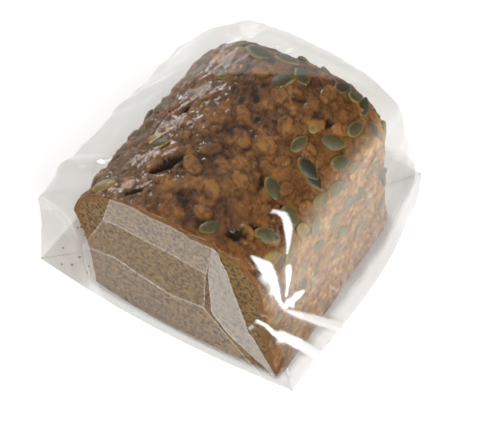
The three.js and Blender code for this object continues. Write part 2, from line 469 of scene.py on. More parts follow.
def loaf_finish(colours):
    """Crust, sides and crumb, told apart by the loaf's own attributes"""
    made, w, end = new_material("crust_and_crumb")
    spot = w.add("ShaderNodeTexCoord").outputs["Object"]
    cut, rim, top = w.attribute("cut"), w.attribute("rim"), w.attribute("top")
    relief, raised, tone = w.attribute("relief"), w.attribute("raised"), w.attribute("tone")

    rosy = w.attribute("rosy")

    crown = mottled(w, spot, CROWN_PATCH, 3.6, colours.crust, colours.crust_shade)
    shaded = w.mix(0.65, crown["Color"], colours.crust_dark_and_shade)
    blotch = mottled(w, spot, BLOTCH_PATCH, 3.2, crown["Color"], shaded)
    plain = blotch["Color"]
    crown_colour = w.mix(rosy, plain, w.mix(0.7, plain, colours.rosy))
    crown_colour = w.mix(w.maths("MULTIPLY", w.attribute("amber"), 0.5), crown_colour, colours.amber)
    crown_colour = w.mix(w.range(tone, 0.2, 0.9, 0.0, 0.65), crown_colour, colours.crust_gold)
    # Painted shade: the crown darkens towards the dark crust in its grooves and low places
    groove = w.range(raised, 0.3, 0.9, 0.7, 0.0)
    hollow = w.range(relief, 0.0, 0.5, 0.9, 0.0)
    crown_colour = w.mix(w.maths("MAXIMUM", groove, hollow), crown_colour, colours.crust_dark_and_shade)

    flank = mottled(w, spot, FLANK_PATCH, 3.4, colours.side, colours.side_brown)
    browner = w.maths("MULTIPLY", blotch["Mask"], 0.7)
    flank_colour = w.mix(browner, flank["Color"], colours.side_brown)
    # Painted shade on the sides: grooves browner, low places darker
    flank_colour = w.mix(w.maths("MULTIPLY", groove, 0.7), flank_colour, colours.crust)
    flank_colour = w.mix(w.maths("MULTIPLY", hollow, 0.6), flank_colour, colours.crust_dark_and_shade)
    baked = w.mix(blotch["Mask"], colours.crust_gold, colours.crust_shade)
    flank_colour = w.mix(w.attribute("baked"), flank_colour, baked)
    skin = w.mix(top, flank_colour, crown_colour)

    shadow = w.mix(0.45, colours.crumb, colours.crumb_dark)
    crumb_colour = mottled(w, spot, GRAIN_PATCH, 2.4, colours.crumb, shadow)["Color"]
    for size, share, strength, speck in (
        (DARK_SPECK, 0.58, 0.85, colours.crumb_dark),
        (LARGE_SPECK, 0.22, 0.6, colours.crumb_dark),
        (PALE_SPECK, 0.2, 0.6, colours.crumb_pale),
    ):
        mask = w.maths("MULTIPLY", speckled(w, spot, size, share), strength)
        crumb_colour = w.mix(mask, crumb_colour, speck)
    crumb_colour = w.mix(w.range(rim, 0.05, 0.26, 0.9, 0.0), crumb_colour, colours.amber)
    colour = w.mix(cut, skin, crumb_colour)

    fine = w.add("ShaderNodeTexNoise", Vector=spot, Scale=FINE_NOISE, Detail=4.0, Roughness=0.65)
    shine = w.range(fine.outputs["Fac"], 0.3, 0.7, 0.3, 0.6)
    rough = w.mix(top, (0.7, 0.7, 0.7), shine)
    rough = w.mix(cut, rough, (0.92, 0.92, 0.92))
    bump = w.add("ShaderNodeBump", Strength=0.8, Distance=0.001, Height=fine.outputs["Fac"])
    shader = w.add("ShaderNodeBsdfPrincipled", Base_Color=colour, Roughness=rough)
    w.feed(shader, "Normal", bump.outputs["Normal"])
    w.feed(shader, "Specular IOR Level", 0.14)
    glossy = w.maths("MULTIPLY", speckled(w, spot, GLINT_SPECK, 0.5), top)
    w.feed(shader, "Coat Weight", w.maths("MULTIPLY", glossy, w.range(rosy, 0.0, 1.0, 0.5, 0.8)))
    w.feed(shader, "Coat Roughness", 0.14)
    w.feed(end, "Surface", shader.outputs["BSDF"])
    return made


def seed_finish(colours):
    """Green-grey pumpkin seeds, each with its own tone and a paler rim"""
    made, w, end = new_material("pumpkin_seed")
    spot = w.add("ShaderNodeTexCoord").outputs["Object"]
    tone, rim = w.attribute("tone"), w.attribute("seed_rim")
    body = w.mix(w.range(tone, 0.0, 0.5), colours.seed_dark, colours.seed)
    body = w.mix(w.range(tone, 0.6, 1.0), body, colours.seed_pale)
    patch = mottled(w, spot, SEED_PATCH, 2.0, body, w.mix(0.75, body, colours.seed_dark))
    colour = w.mix(w.range(rim, 0.72, 0.98, 0.0, 0.6), patch["Color"], colours.seed_rim)
    fine = w.add("ShaderNodeTexNoise", Vector=spot, Scale=FINE_NOISE, Detail=2.0, Roughness=0.5)
    bump = w.add("ShaderNodeBump", Strength=0.3, Distance=0.0003, Height=fine.outputs["Fac"])
    rough = w.range(fine.outputs["Fac"], 0.3, 0.7, 0.42, 0.62)
    shader = w.add("ShaderNodeBsdfPrincipled", Base_Color=colour, Roughness=rough)
    w.feed(shader, "Normal", bump.outputs["Normal"])
    w.feed(end, "Surface", shader.outputs["BSDF"])
    return made


def crumb_finish(colours):
    """Loose crumbs of crust and crumb"""
    made, w, end = new_material("loose_crumb")
    spot = w.add("ShaderNodeTexCoord").outputs["Object"]
    patch = mottled(w, spot, LOOSE_CRUMB_PATCH, 3.0, colours.crumb, colours.crust)
    shader = w.add("ShaderNodeBsdfPrincipled", Base_Color=patch["Color"], Roughness=0.85)
    w.feed(end, "Surface", shader.outputs["BSDF"])
    return made


def film_finish(name, tint, mirror):
    """Clear film: light passes, mirrors more at a slant, less where it clings, and turns white where it is
    milky and where highlights and light are painted on it
    """
    made, w, end = new_material(name)
    slant = w.add("ShaderNodeLayerWeight", Blend=0.5).outputs["Facing"]
    steep = w.maths("POWER", slant, 7.0)
    share = w.maths("ADD", w.maths("MULTIPLY", steep, 0.9 * mirror), 0.055 * mirror)
    share = w.maths("MULTIPLY", share, w.range(w.attribute("cling"), 0.0, 1.0, 1.0, 0.15))
    clear = w.add("ShaderNodeBsdfTransparent", Color=tint)
    gloss = w.add("ShaderNodeBsdfGlossy", Color=(1, 1, 1), Roughness=0.07)
    sheet = w.add("ShaderNodeMixShader", Fac=share)
    made.node_tree.links.new(clear.outputs["BSDF"], sheet.inputs[1])
    made.node_tree.links.new(gloss.outputs["BSDF"], sheet.inputs[2])
    # White of the film: its own milkiness, and also painted highlights and painted light
    white_milk_and_painted_light = w.add("ShaderNodeBsdfDiffuse", Color=(0.95, 0.95, 0.95))
    whole = w.add("ShaderNodeMixShader", Fac=w.attribute("milk_and_painted_light"))
    made.node_tree.links.new(sheet.outputs["Shader"], whole.inputs[1])
    made.node_tree.links.new(white_milk_and_painted_light.outputs["BSDF"], whole.inputs[2])
    w.feed(end, "Surface", whole.outputs["Shader"])
    return made


def add_piece(name, points, faces, finish, attributes=None):
    """A smooth mesh piece that rides on the part"""
    mesh = bpy.data.meshes.new(name)
    mesh.from_pydata(in_frame(points).tolist(), [], faces)
    mesh.shade_smooth()
    for label, values in (attributes or {}).items():
        kind = "FLOAT" if np.ndim(values) == 1 else "FLOAT_VECTOR"
        field = mesh.attributes.new(label, kind, "POINT")
        field.data.foreach_set("value" if kind == "FLOAT" else "vector", np.ravel(values).astype(np.float32))
    piece = bpy.data.objects.new(name, mesh)
    bpy.context.scene.collection.objects.link(piece)
    if finish is not None:
        mesh.materials.append(finish)
    return piece


def grid_faces(rows, columns, start=0):
    """Faces of a grid of points laid out row by row"""
    first = np.arange(rows - 1)[:, None] * columns + np.arange(columns - 1)[None, :] + start
    return np.stack((first, first + 1, first + columns + 1, first + columns), -1).reshape(-1, 4).tolist()


def resampled(points, count):
    """Evenly spaced points along a line of points"""
    steps = np.linalg.norm(np.diff(points, axis=0), axis=1)
    along = np.concatenate(([0], np.cumsum(steps)))
    wanted = np.linspace(0, along[-1], count)
    return np.stack([np.interp(wanted, along, points[:, i]) for i in range(points.shape[1])], 1)


def curve_between(start, middle, finish):
    """Points of a quadratic curve"""
    t = np.linspace(0, 1, CURVE_STEPS)[:, None]
    return start * (1 - t) ** 2 + middle * 2 * t * (1 - t) + finish * t**2


def left_foot(y):
    """Where the film's left side meets the table"""
    return LEFT_FOOT_FRONT + (LEFT_FOOT_BACK - LEFT_FOOT_FRONT) * y / BACK_FOLD_Y


def right_foot(y):
    """Where the film's right side meets the table: out to half way back, then in ever faster"""
    halfway = BACK_FOLD_Y / 2
    past = max(0, y / halfway - 1)
    return RIGHT_FOOT_FRONT + RIGHT_FOOT_SWELL * smoothstep(y, 0, halfway) - RIGHT_FOOT_TAPER * past**2


def film_section(sizes, y):
    """Points (x, z) of the film across the bag, evenly spaced from the left foot to the right"""
    half = (sizes.half_width + sizes.gap) / MM
    rise = (sizes.height + sizes.gap) / MM - SHOULDER_HEIGHT
    corner = RIGHT_CORNER + (RIGHT_CORNER_BACK - RIGHT_CORNER) * smoothstep(y, BACK_FOLD_Y / 2, BACK_EDGE_Y)

    def crown(x):
        power = np.where(x < 0, LEFT_CORNER, corner)
        return SHOULDER_HEIGHT + rise * (1 - np.clip(np.abs(x) / half, 0, 1) ** power) ** (1 / power)

    gusset_x = GUSSET_FRONT_X + (GUSSET_X - GUSSET_FRONT_X) * smoothstep(y, 0, GUSSET_WIDENS_BY_Y)
    gusset = np.array((gusset_x, GUSSET_FRONT_Z - GUSSET_FALL * y))
    leaves = np.array((LEAVES_LEFT_X, crown(np.array(LEAVES_LEFT_X))))
    foot = np.array((left_foot(y), 0))
    slope = leaves - gusset
    below = gusset + unit(foot - gusset) * GUSSET_ROUND
    above = gusset + unit(slope) * GUSSET_ROUND
    swell = unit(np.array((-slope[1], slope[0]))) * GUSSET_BULGE * y / BACK_EDGE_Y
    midway = (gusset + leaves) / 2 + swell
    shoulder = half * (1 - ((LEAVES_RIGHT_Z - SHOULDER_HEIGHT) / rise) ** corner) ** (1 / corner)
    across = np.sin(np.linspace(0, math.pi / 2, CROWN_STEPS))[1:]
    crown_x = LEAVES_LEFT_X + (shoulder - LEAVES_LEFT_X) * across
    line = [
        foot[None],
        curve_between(below, gusset, above),
        curve_between(above, midway, leaves)[1:],
        np.stack((crown_x, crown(crown_x)), 1),
        np.array(((right_foot(y), 0.0),)),
    ]
    return resampled(np.concatenate(line), FILM_ACROSS)


def film_rows(sizes):
    """The bag's skin as one grid of points whose whole edge lies on the table"""
    rim = film_section(sizes, 0)
    share = (rim[:, 0] - rim[0, 0]) / (rim[-1, 0] - rim[0, 0])
    fold = FRONT_FOLD_LEFT_Y + (FRONT_FOLD_RIGHT_Y - FRONT_FOLD_LEFT_Y) * share - FRONT_FOLD_BOW * bow(share)
    half = sizes.half_width / MM
    ear = np.clip((rim[:, 0] + half) / (rim[0, 0] + half), 0, 1)
    rows = []
    for up in np.arange(FACE_ROWS) / FACE_ROWS:
        z = rim[:, 1] * up
        hollow = EAR_HOLLOW * bow(ear) * bow(np.minimum(1, z / GUSSET_FRONT_Z))
        rows.append(np.stack((rim[:, 0], fold + (FACE_TOP_Y - fold) * up + hollow, z), 1))
    for y in np.linspace(RIM_Y, BACK_EDGE_Y, BODY_ROWS):
        section = film_section(sizes, y)
        rows.append(np.stack((section[:, 0], np.full(FILM_ACROSS, y), section[:, 1]), 1))
    edge = rows[-1]
    share = (edge[:, 0] - edge[0, 0]) / (edge[-1, 0] - edge[0, 0])
    fold_x = left_foot(BACK_FOLD_Y) + (right_foot(BACK_FOLD_Y) - left_foot(BACK_FOLD_Y)) * share
    fold = np.stack((fold_x, BACK_FOLD_Y + BACK_FOLD_BOW * bow(share), np.zeros(FILM_ACROSS)), 1)
    over = edge + (0, BACK_EDGE_REACH, 0)
    for t in np.arange(1, BACK_ROWS + 1) / BACK_ROWS:
        rows.append(edge * (1 - t) ** 2 + over * 2 * t * (1 - t) + fold * t**2)
    return np.array(rows)


def line_distance(points, start, finish):
    """Distance of each point to a straight piece of line, and how far along it the nearest spot lies"""
    start, along = np.array(start, float), np.subtract(finish, start).astype(float)
    share = np.clip((points - start) @ along / (along @ along), 0, 1)
    return np.linalg.norm(points - start - share[..., None] * along, axis=-1), share


def crumple(points, cell, draw):
    """Sharp-edged wrinkles, from 0 to 1: tents folded along random wandering lines"""
    random = np.random.default_rng(draw)
    total = np.zeros(points.shape[:-1])
    folds = 6
    for _ in range(folds):
        along, across = unit(random.normal(size=(2, 3)))
        wander = 0.35 * np.sin(points @ across / cell * 2 + random.uniform(0, 6))
        total += np.abs((points @ along / cell + wander + random.random()) % 1 * 2 - 1)
    return total / folds


def make_film(sizes):
    """Points, faces, milkiness with painted highlights and painted light, and cling of the whole bag, closed
    by its base
    """
    rows = film_rows(sizes)
    normals = unit(np.cross(np.gradient(rows, axis=1), np.gradient(rows, axis=0)) + (0, 0, 1e-9))
    x, y, z = np.moveaxis(rows, -1, 0)
    lift = np.zeros(x.shape)
    milk_and_painted_light = np.zeros(x.shape)
    for start, finish, rise, reach in CREASES + STREAKS:
        near, _ = line_distance(rows, start, finish)
        lift += rise * np.maximum(0, 1 - near / reach)
    on_crown = smoothstep(z, LEAVES_RIGHT_Z, sizes.height / MM)
    a, b = x * 2 * math.pi / (sizes.lump_length / MM), y * 2 * math.pi / (sizes.lump_length / MM)
    lift += sizes.lump / MM * on_crown * np.sin(a + 0.8 * np.sin(b)) * np.sin(b + 0.8 * np.sin(2 * a))
    loose = np.maximum(smoothstep(x, 50, 60), smoothstep(-x, 36, 50))
    loose = np.maximum(loose, smoothstep(y, 104, 116))
    loose = np.maximum(0.1, loose)
    facets = crumple(rows, sizes.crumple_cell / MM, 5) - 0.5
    lift += sizes.crumple / MM * loose * facets * 2
    lift *= smoothstep(z, 0, 6)
    moved = rows + normals * lift[..., None]
    moved[..., 2] = np.where(z <= 0, 0, np.maximum(moved[..., 2], z / 2))
    # Painted highlights: the film turns white along the listed creases, where the lamps would be mirrored
    for start, finish, first_width, last_width, strength in PAINTED_HIGHLIGHTS:
        near, share = line_distance(moved, start, finish)
        half = first_width + (last_width - first_width) * share
        milk_and_painted_light = np.maximum(milk_and_painted_light, strength * np.clip((half - near) / PAINTED_HIGHLIGHT_SOFTNESS + 0.5, 0, 1))
    side_milk = SIDE_MILK * smoothstep(x, 50, 58) * smoothstep(z + y, 50, 90)
    # Double layer at the back, with a painted reflection: a milky band across the back slope
    back_layer_and_painted_reflection = BACK_LAYER_AND_PAINTED_REFLECTION * smoothstep(y - 0.5 * x, 90, 91.5) * smoothstep(z, 60, 90)
    left_fold = np.interp(z, *PANEL_LEFT)
    right_fold = np.interp(z, *PANEL_RIGHT)
    on_panel = smoothstep(x - left_fold, 0, 1.5) * smoothstep(right_fold - x, 0, 1.5)
    on_panel *= normals[..., 1] < -0.7
    # Painted light: the film's foot is whitened to lighten the shade that the loaf casts on the table inside
    # the bag
    foot_top = FRONT_FOOT_HEIGHT + (RIGHT_FOOT_HEIGHT - FRONT_FOOT_HEIGHT) * smoothstep(x, 56, 62)
    painted_foot_light = PAINTED_FOOT_LIGHT * (1 - smoothstep(z / foot_top, 0.4, 1.1)) * smoothstep(x, -60, -50)
    for milk in (side_milk, painted_foot_light, back_layer_and_painted_reflection, PANEL_MILK * on_panel):
        milk_and_painted_light = np.maximum(milk_and_painted_light, milk)
    cling = smoothstep(z, 70, 96) * smoothstep(normals[..., 2], 0.1, 0.5)
    cling *= smoothstep(-y, -132, -118) * smoothstep(x, -60, -40)
    on_face = smoothstep(-normals[..., 1], 0.6, 0.8) * smoothstep(x, -58, -50)
    cling = np.maximum(cling, FRONT_CLING * on_face)

    count_rows, columns = x.shape
    points = moved.reshape(-1, 3)
    faces = grid_faces(count_rows, columns)
    index = np.arange(count_rows * columns).reshape(count_rows, columns)
    edge = np.concatenate((index[0, :-1], index[:-1, -1], index[-1, :0:-1], index[:0:-1, 0]))
    middle = len(points)
    points = np.concatenate((points, ((0, BACK_FOLD_Y / 2, 0),)))
    faces += [(middle, int(b), int(a)) for a, b in zip(edge, np.roll(edge, -1))]
    return points, faces, {"milk_and_painted_light": np.append(milk_and_painted_light.reshape(-1), 0), "cling": np.append(cling.reshape(-1), 0)}


def loaf_inside(sizes, points):
    """How deep each point lies in the loaf's bare form and behind its skin alone, in millimetres"""
    x, y, z = points.T
    along = smoothstep(y, 15, 110)
    left = x < 0
    inward = np.where(left, sizes.left_taper * along, 0)
    upper = (np.where(left, sizes.left_crown, sizes.right_crown) - inward) / MM
    lower = (np.where(left, sizes.left_base, sizes.right_base) - 0.6 * inward) / MM
    flare = 1.8 * np.clip((40 - z) / 40, 0, 1) ** 2
    half = lower + flare + (upper - lower) * smoothstep(z, 48, 70)
    rise = (sizes.height - sizes.drop * along) / MM - SHOULDER_HEIGHT
    over = np.maximum(z - SHOULDER_HEIGHT, 0)
    right_power = LOAF_RIGHT_CORNER + (LOAF_RIGHT_CORNER_BACK - LOAF_RIGHT_CORNER) * smoothstep(y, 5, 60)
    power = np.where(left, LOAF_LEFT_CORNER, right_power)
    share = ((np.abs(x) / half) ** power + (over / rise) ** power) ** (1 / power)
    wall = np.where(over > 0, np.hypot(x, over) * (1 / np.maximum(share, 1e-6) - 1), half - np.abs(x))
    back = (sizes.base_length + sizes.overhang * smoothstep(z, 42, 72)) / MM - y
    rounding = (sizes.back_round + (sizes.crown_round - sizes.back_round) * smoothstep(z, 60, 95)) / MM
    skin = joined(wall, back, rounding)
    across = np.clip(x / (2 * lower) + 0.5, 0, 1)
    front = y + sizes.cut_bow / MM * bow(across) * (1 - smoothstep(z, 0, 75))
    return np.minimum(joined(skin, front, sizes.rim_round / MM), z - 0.5), skin


def joined(first, second, radius):
    """Depth behind two faces whose edge is rounded"""
    corner = radius - np.hypot(np.maximum(0, radius - first), np.maximum(0, radius - second))
    return np.minimum(corner, np.minimum(first, second))


def cube_shell(cells):
    """Points and faces of a cube's skin from -1 to 1, cut into square cells"""
    line = np.arange(cells + 1)
    u, v = np.meshgrid(line, line, indexing="ij")
    corners, quads = [], []
    for axis in range(3):
        for side in (0, cells):
            lattice = np.insert(np.stack((u, v), -1), axis, side, axis=-1).reshape(-1, 3)
            block = np.array(grid_faces(cells + 1, cells + 1, len(corners) * len(lattice)))
            outward = (side > 0) == (axis == 1)
            quads.append(block if outward else block[:, ::-1])
            corners.append(lattice)
    points, where = np.unique(np.concatenate(corners), axis=0, return_inverse=True)
    faces = where.reshape(-1)[np.concatenate(quads)]
    return points * 2 / cells - 1, faces


def bare_loaf(sizes):
    """The loaf's form without relief: points found along rays from its middle"""
    shell, faces = cube_shell(LOAF_CELLS)
    rays = shell * LOAF_REACH
    low, high = np.zeros(len(rays)), np.full(len(rays), 1.6)
    for _ in range(24):
        middle = (low + high) / 2
        depth, _ = loaf_inside(sizes, LOAF_CENTRE + rays * middle[:, None])
        low = np.where(depth > 0, middle, low)
        high = np.where(depth > 0, high, middle)
    return LOAF_CENTRE + rays * low[:, None], faces


def grid_normals(points, faces):
    """Outward normal of each point of a closed mesh of four-sided faces"""
    a, b, c, d = (points[faces[:, i]] for i in range(4))
    across = np.cross(c - a, d - b)
    normals = np.zeros_like(points)
    for i in range(4):
        np.add.at(normals, faces[:, i], across)
    return unit(normals)


# Hollows of the crown: place, length, width, depth and turn in degrees
HOLLOWS = [
    (-17, 27, 19, 8, 5.0, 55),
    (-22, 8, 10, 6, 2.2, 20),
    (35, 12, 18, 9, 2.4, 40),
    (38, 20, 10, 6, 1.4, 70),
    (50, 38, 9, 5, 2.0, 30),
    (28, 40, 12, 5, 1.6, 100),
    (19, 88, 14, 8, 1.4, 20),
    (39, 87, 10, 6, 1.4, 60),
    (-30, 58, 14, 5, 1.8, 80),
]

# How many spots are tried for the drawn lumps and the drawn seeds
LUMP_TRIES = 1500
SEED_TRIES = 3000

# Seeds that lie on the crown and its edges: place, turn in degrees, tone from dark to pale, size
CROWN_SEEDS = [
    ((36, 41, 104), 330, 0.42, 1.05),
    ((45, 61, 102), 350, 0.05, 1.10),
    ((53, 59, 98), 345, 0.10, 1.05),
    ((47, 79, 100), 30, 0.60, 1.05),
    ((36, 78, 104), 80, 0.85, 0.60),
    ((5, 93, 104), 35, 0.30, 1.15),
    ((30, 112, 98), 85, 0.15, 1.10),
    ((38, 113, 94), 75, 0.30, 1.00),
    ((46, 111, 92), 110, 0.25, 1.00),
    ((-14, 106, 103), 5, 0.30, 1.25),
    ((-2, 110, 101), 0, 0.35, 1.20),
    ((-25, 104, 98), 20, 0.70, 0.80),
    ((-39, 8, 92), 25, 0.90, 1.10),
    ((-27, 37, 100), 20, 0.45, 0.85),
    ((-31, 42, 98), 60, 0.95, 0.60),
    ((23, 8, 104), 45, 0.45, 0.95),
    ((-44, 62, 88), 50, 0.05, 1.00),
    ((-46, 44, 86), 60, 0.10, 1.00),
    ((-47, 35, 85), 55, 0.05, 0.95),
    ((33, 67, 104), 80, 0.50, 0.85),
    ((54, 75, 92), 50, 0.50, 1.00),
    ((52, 38, 99), 15, 0.55, 1.05),
    ((46, 20, 102), 25, 0.60, 1.00),
    ((-22, 84, 101), 40, 0.65, 0.70),
    ((50, 93, 96), 70, 0.55, 0.95),
    ((12, 101, 104), 150, 0.40, 0.90),
]

# Seeds that show on the right side
RIGHT_SEEDS = [
    ((55, 15, 93), 60, 0.91, 1.00),
    ((55, 27, 82), 100, 0.87, 1.00),
    ((55, 37, 84), 35, 0.95, 1.00),
    ((55, 47, 78), 120, 0.79, 0.95),
    ((55, 55, 85), 60, 0.78, 1.10),
    ((55, 68, 80), 75, 0.73, 1.05),
    ((55, 83, 78), 55, 0.85, 0.90),
    ((55, 46, 60), 40, 0.76, 1.05),
    ((55, 60, 62), 100, 0.81, 1.10),
    ((55, 74, 60), 65, 0.75, 1.00),
    ((55, 30, 60), 130, 0.90, 0.95),
    ((55, 66, 44), 60, 0.78, 1.05),
    ((55, 61, 33), 95, 0.82, 0.95),
    ((55, 83, 56), 40, 0.76, 1.00),
    ((55, 82, 26), 70, 0.81, 0.95),
    ((55, 91, 37), 30, 0.86, 0.90),
    ((55, 30, 46), 20, 0.68, 0.85),
    ((55, 6, 49), 85, 0.87, 1.00),
    ((55, 4, 35), 70, 0.66, 0.75),
    ((55, 14, 66), 50, 0.71, 1.00),
    ((55, 40, 40), 150, 0.85, 0.80),
    ((55, 98, 60), 90, 0.79, 1.00),
    ((55, 20, 22), 30, 0.93, 0.70),
]


def bump_shape(points, centre, normal, turn, half_length, half_width):
    """How far inside an oval on the loaf's skin each point lies: 1 in its middle, 0 past its edge"""
    east = unit(np.cross((0, 1, 0), normal))
    north = np.cross(normal, east)
    along = math.cos(turn) * east + math.sin(turn) * north
    across = np.cross(normal, along)
    offset = points - centre
    spread = ((offset @ along) / half_length) ** 2 + ((offset @ across) / half_width) ** 2
    near = np.abs(offset @ normal) < half_length
    return np.where(near, np.maximum(0, 1 - spread), 0)


def fractal(points, cell, octaves):
    """Cloudy noise from about -1 to 1 with features of the given size"""
    return np.array([noise.fractal(Vector(p), 0.9, 2.1, octaves) for p in points / cell])


def cobbles(points, cell):
    """Uneven cells: 0 on the grooves between them, 1 inside"""
    warped = points / cell
    warped = warped + 0.6 * np.array([noise.noise_vector(Vector(p)) for p in warped * 0.8])
    distances = np.array([noise.voronoi(Vector(p))[0][:2] for p in warped])
    return smoothstep(distances[:, 1] - distances[:, 0], 0, 0.4)


def nearest_to(points, spot):
    """Number of the point nearest a spot"""
    return int(np.argmin(np.linalg.norm(points - np.array(spot, float), axis=1)))


def spaced_draw(random, points, weights, spacing, tries):
    """Numbers of randomly drawn points that keep a distance from each other"""
    chosen = []
    for i in random.choice(len(points), tries, p=weights / weights.sum()):
        if not chosen or np.linalg.norm(points[chosen] - points[i], axis=1).min() > spacing:
            chosen.append(int(i))
    return chosen


def make_loaf(sizes, draw):
    """Points, faces and attributes of the loaf with its patches, lumps, hollows and crumb"""
    random = np.random.default_rng(draw)
    noise.seed_set(draw + 1)
    points, faces = bare_loaf(sizes)
    normals = grid_normals(points, faces)
    x, y, z = points.T
    _, skin = loaf_inside(sizes, points)
    cut = smoothstep(-normals[:, 1], 0.6, 0.9) * (y < 3)
    crust = 1 - cut
    top = smoothstep(z + 14 * normals[:, 2], 72, 102) * crust
    top = np.where(x < 0, np.maximum(top, smoothstep(z, 62, 76) * crust), top)

    crown = (normals[:, 2] > 0.4) & (y > 5)
    lump, ring = np.zeros(len(points)), np.zeros(len(points))
    spacing = sizes.lump_length / MM * 0.8
    for i in spaced_draw(random, points, crown.astype(float), spacing, LUMP_TRIES)[: sizes.lumps]:
        half = sizes.lump_length / MM / 2 * random.uniform(0.75, 1.2)
        shape = bump_shape(points, points[i], normals[i], random.uniform(0, math.pi), half, half * 0.62)
        lump = np.maximum(lump, smoothstep(shape, 0, 0.6))
        ring = np.maximum(ring, (shape > 0) * (1 - np.abs(shape - 0.16) / 0.16))
    hollow = np.zeros(len(points))
    ragged = points + 2.4 * np.array([noise.noise_vector(Vector(p)) for p in points / 4.5])
    for spot_x, spot_y, length, width, depth, turn in HOLLOWS:
        i = nearest_to(points, (spot_x, spot_y, sizes.height / MM))
        shape = bump_shape(ragged, points[i], normals[i], math.radians(turn), length / 2, width / 2)
        hollow = np.maximum(hollow, depth * smoothstep(shape, 0, 1.0))
    slope = smoothstep(-x, 6, 34)
    cobbled = 1 - (1 - cobbles(points, sizes.patch / MM)) * (0.25 + 0.4 * slope)
    wrinkled = smoothstep(np.abs(fractal(points, 9.0, 3)), 0, 0.2)
    rugged = 0.75 + 0.25 * slope
    raised = 1 - rugged * (1 - np.minimum(np.minimum(cobbled, 0.3 + 0.7 * wrinkled), 1 - 0.9 * ring))
    broad = fractal(points, 26.0, 2)
    clouds = fractal(points, 9.0, 2)
    small = fractal(points, 2.2, 3)
    pores = fractal(points, 1.5, 3)
    weight = 0.6 + 0.4 * top
    lift = sizes.patch_height / MM * (raised - 0.7) * weight
    lift += sizes.lump_height / MM * (lump - 0.3) * top * rugged
    lift += broad * 0.9 + clouds * 0.5 + small * (0.8 - 0.4 * top)
    lift -= hollow * crust
    lift = np.minimum(lift, 1.1) - 0.6
    # relief: 0 in the lowest places of the skin, where the finish paints shade
    relief = np.clip((lift + 2.4) / 3.0, 0, 1)
    lift = np.where(cut > 0.5, sizes.crumb_depth / MM * np.minimum(pores, 0.3), lift)
    lift = np.where(z < 1, 0, lift)
    moved = points + normals * lift[:, None]
    moved[:, 2] = np.maximum(moved[:, 2], 0.4)
    amber = np.maximum(smoothstep(x, 12, 44), smoothstep(-y, -8, -1) * smoothstep(x, -30, 20)) * top
    attributes = {
        "cut": cut,
        "rim": np.clip(skin / 20, 0, 1),
        "top": top,
        "relief": relief,
        "raised": raised,
        "tone": np.clip(0.15 + clouds * 0.5 + lump * 0.5, 0, 1),
        "amber": amber,
        "rosy": slope * top,
        "baked": 0.7 * smoothstep(-y, -40, -8) * smoothstep(-z, -72, -40) * (x > 0),
        "facing": normals,
    }
    return moved, faces.tolist(), attributes


def seed_shape(sizes):
    """A flat pumpkin seed, pointed at one end, lying along X with its middle at the origin"""
    around = 16
    angles = np.arange(around) / around * 2 * math.pi
    half = np.array((sizes.length / 2, sizes.width / 2)) / MM
    taper = 1 - 0.42 * smoothstep(np.cos(angles), 0.1, 1.0)
    outline = np.stack((np.cos(angles) * half[0], np.sin(angles) * half[1] * taper), 1)
    rings = ((0.55, 0.94), (0.86, 0.66), (1.0, 0.16))
    thick = sizes.thickness / MM / 2
    points, rims = [(0, 0, thick)], [0]
    for share, height in rings:
        points += [(*(p * share), thick * height) for p in outline]
        rims += [share] * around
    for share, height in rings[::-1]:
        points += [(*(p * share), -thick * height) for p in outline]
        rims += [share] * around
    points.append((0, 0, -thick))
    rims.append(0)
    faces = []
    last = len(points) - 1
    bottom = last - around
    for k in range(around):
        after = (k + 1) % around
        faces.append((0, 1 + k, 1 + after))
        faces.append((last, bottom + after, bottom + k))
        for ring in range(2 * len(rings) - 1):
            a, b = 1 + ring * around, 1 + (ring + 1) * around
            faces.append((a + k, b + k, b + after, a + after))
    return np.array(points), faces, np.array(rims, float)


def crumb_shape(random):
    """One uneven crumb, about 2 mm across"""
    around, rings = 7, 3
    points, faces = [(0, 0, 1)], []
    for r in range(1, rings + 1):
        slope = r / (rings + 1) * math.pi
        for k in range(around):
            turn = (k + r / 2) / around * 2 * math.pi
            reach = random.uniform(0.75, 1.2)
            ring = math.sin(slope) * reach
            points.append((ring * math.cos(turn), ring * math.sin(turn), math.cos(slope) * reach * 0.8))
    points.append((0, 0, -0.8))
    last = len(points) - 1
    for k in range(around):
        after = (k + 1) % around
        faces.append((0, 1 + k, 1 + after))
        faces.append((last, last - around + after, last - around + k))
        for r in range(rings - 1):
            a, b = 1 + r * around, 1 + (r + 1) * around
            faces.append((a + k, b + k, b + after, a + after))
    return np.array(points), faces


